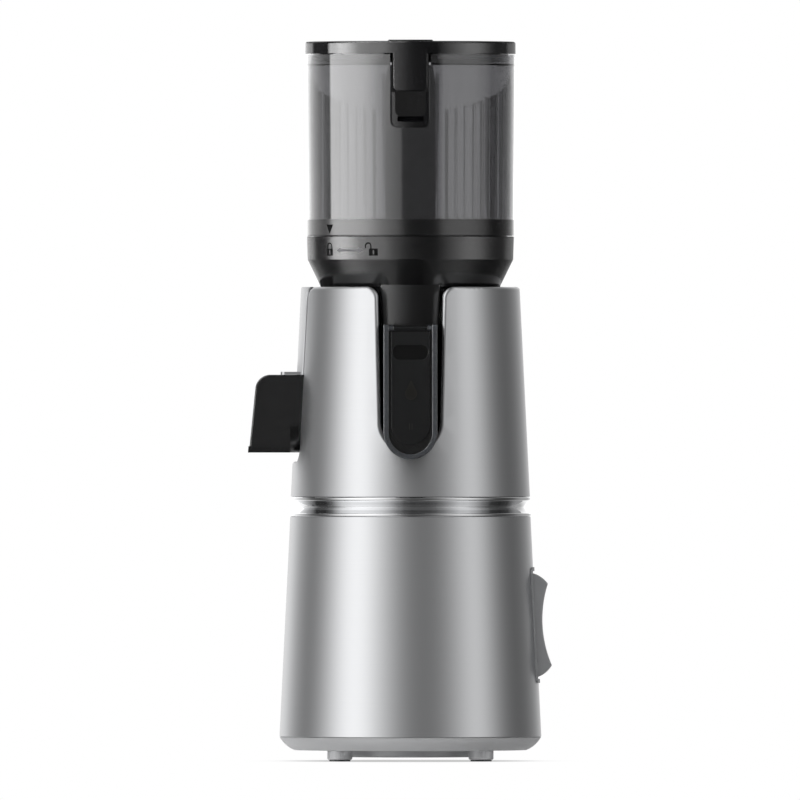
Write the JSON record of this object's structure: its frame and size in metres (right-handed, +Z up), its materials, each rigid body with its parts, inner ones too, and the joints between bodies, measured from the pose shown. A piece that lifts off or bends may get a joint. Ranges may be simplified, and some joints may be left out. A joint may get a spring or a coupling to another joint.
{
  "type": "cold press juicer",
  "caption": "Upright cold press juicer: metal body on a base, bowl with front juice spout and side pulp spout, wide clear hopper with hinged lid, rocker switch on the right.",
  "frame": {"origin": "on the drive axis, 2.5 mm below the underside of the bottom cover, level with the pads' feet", "axes": "+Z up along the drive axis, -Y out through the juice spout, -X out through the pulp spout"},
  "size_m": [0.2025, 0.1945, 0.48],
  "materials": {
    "satin_metal": "satin",
    "chrome_trim": "polished",
    "silver_plastic": "satin metallic paint",
    "rocker_silver": "satin metallic paint",
    "satin_black": "satin",
    "gloss_black": "gloss",
    "smoked_clear": "gloss, transparent, tinted",
    "black_rubber": "matte",
    "grey_rubber": "matte",
    "steel": "turned",
    "magnet_metal": "plated",
    "gear_resin": "matte",
    "copper": "enamelled wire",
    "lamination": "matte",
    "board": "satin",
    "dark_resin": "satin"
  },
  "bodies": {
    "base": {"lower_shell": "satin_metal", "upper_shell": "satin_metal", "trim_ring": "chrome_trim", "base_plate": "silver_plastic", "bottom_cover": "silver_plastic", "foot_front_left": "silver_plastic", "foot_front_right": "silver_plastic", "foot_rear_left": "silver_plastic", "foot_rear_right": "silver_plastic", "foot_pads": "black_rubber", "base_screws": "steel", "cradle": "satin_black", "rocker_bezel": "rocker_silver", "rocker_pin": "steel", "power_switch": "dark_resin", "motor_can": "steel", "motor_end_bell": "lamination", "stator": "lamination", "windings": "copper", "lower_bearing": "steel", "upper_bearing": "steel", "idler_pin": "steel", "gearbox_case": "dark_resin", "gearbox_lid": "dark_resin", "gearbox_screws": "steel", "output_bearing": "steel", "neck_bearing": "steel", "control_board": "board", "run_capacitor": "dark_resin", "reed_switch": "dark_resin", "cord_gland": "black_rubber"},
    "rotor": {"rotor_core": "lamination", "motor_shaft": "steel", "cooling_fan": "dark_resin"},
    "idler": {"idler_gear": "gear_resin"},
    "output": {"output_gear": "gear_resin", "drive_shaft": "steel"},
    "rocker_button": {"rocker": "rocker_silver"},
    "juicing_bowl": {"bowl": "satin_black", "bowl_seal": "grey_rubber", "bowl_magnet": "magnet_metal", "side_cover": "satin_metal", "juice_spout": "satin_black", "flap_pin": "steel", "pulp_spout": "gloss_black", "strainer": "steel"},
    "spout_flap": {"juice_flap": "satin_black", "flap_seal": "grey_rubber"},
    "auger_unit": {"auger": "dark_resin", "auger_insert": "steel", "feeding_wing": "dark_resin"},
    "hopper_unit": {"hopper": "smoked_clear", "hopper_collar": "gloss_black", "collar_seal": "grey_rubber", "pocket_insert": "gloss_black", "hinge_pin": "steel", "rod_spring": "steel"},
    "lid_unit": {"lid": "gloss_black", "lid_seal": "grey_rubber"},
    "rod": {"interlock_rod": "dark_resin"}
  },
  "joints": [
    {"name": "motor_spin", "type": "hinge", "parent": "base", "child": "rotor", "pos_m": [0, 0, 0.076], "axis": [0, 0, 1], "continuous": true},
    {"name": "idler_spin", "type": "hinge", "parent": "base", "child": "idler", "pos_m": [0, 0.036, 0.127], "axis": [0, 0, 1], "continuous": true},
    {"name": "output_spin", "type": "hinge", "parent": "base", "child": "output", "pos_m": [0, 0, 0.18], "axis": [0, 0, 1], "continuous": true},
    {"name": "rocker_tilt", "type": "hinge", "parent": "base", "child": "rocker_button", "pos_m": [0.07765, 0, 0.0901], "axis": [0, 1, 0], "range_deg": [-7, 7]},
    {"name": "bowl_lift", "type": "slide", "parent": "base", "child": "juicing_bowl", "axis": [0, 0, 1], "range_m": [0, 0.14]},
    {"name": "flap_swing", "type": "hinge", "parent": "juicing_bowl", "child": "spout_flap", "pos_m": [0, -0.1016, 0.288], "axis": [-1, 0, 0], "range_deg": [0, 95]},
    {"name": "auger_spin", "type": "hinge", "parent": "juicing_bowl", "child": "auger_unit", "pos_m": [0, 0, 0.26], "axis": [0, 0, 1], "continuous": true},
    {"name": "hopper_twist", "type": "hinge", "parent": "juicing_bowl", "child": "hopper_unit", "pos_m": [0, 0, 0.36], "axis": [0, 0, 1], "range_deg": [0, 30]},
    {"name": "lid_hinge", "type": "hinge", "parent": "hopper_unit", "child": "lid_unit", "pos_m": [0, 0.074, 0.47], "axis": [-1, 0, 0], "range_deg": [0, 100]},
    {"name": "rod_rise", "type": "slide", "parent": "hopper_unit", "child": "rod", "axis": [0, 0, 1], "range_m": [0, 0.0025], "deforming": ["rod_spring"]}
  ],
  "couplings": [
    {"joint": "idler_spin", "follows": "motor_spin", "ratio": -0.2},
    {"joint": "output_spin", "follows": "motor_spin", "ratio": 0.04},
    {"joint": "auger_spin", "follows": "motor_spin", "ratio": 0.04},
    {"joint": "rod_rise", "follows": "lid_hinge", "m_per_rad": 0.00143}
  ]
}
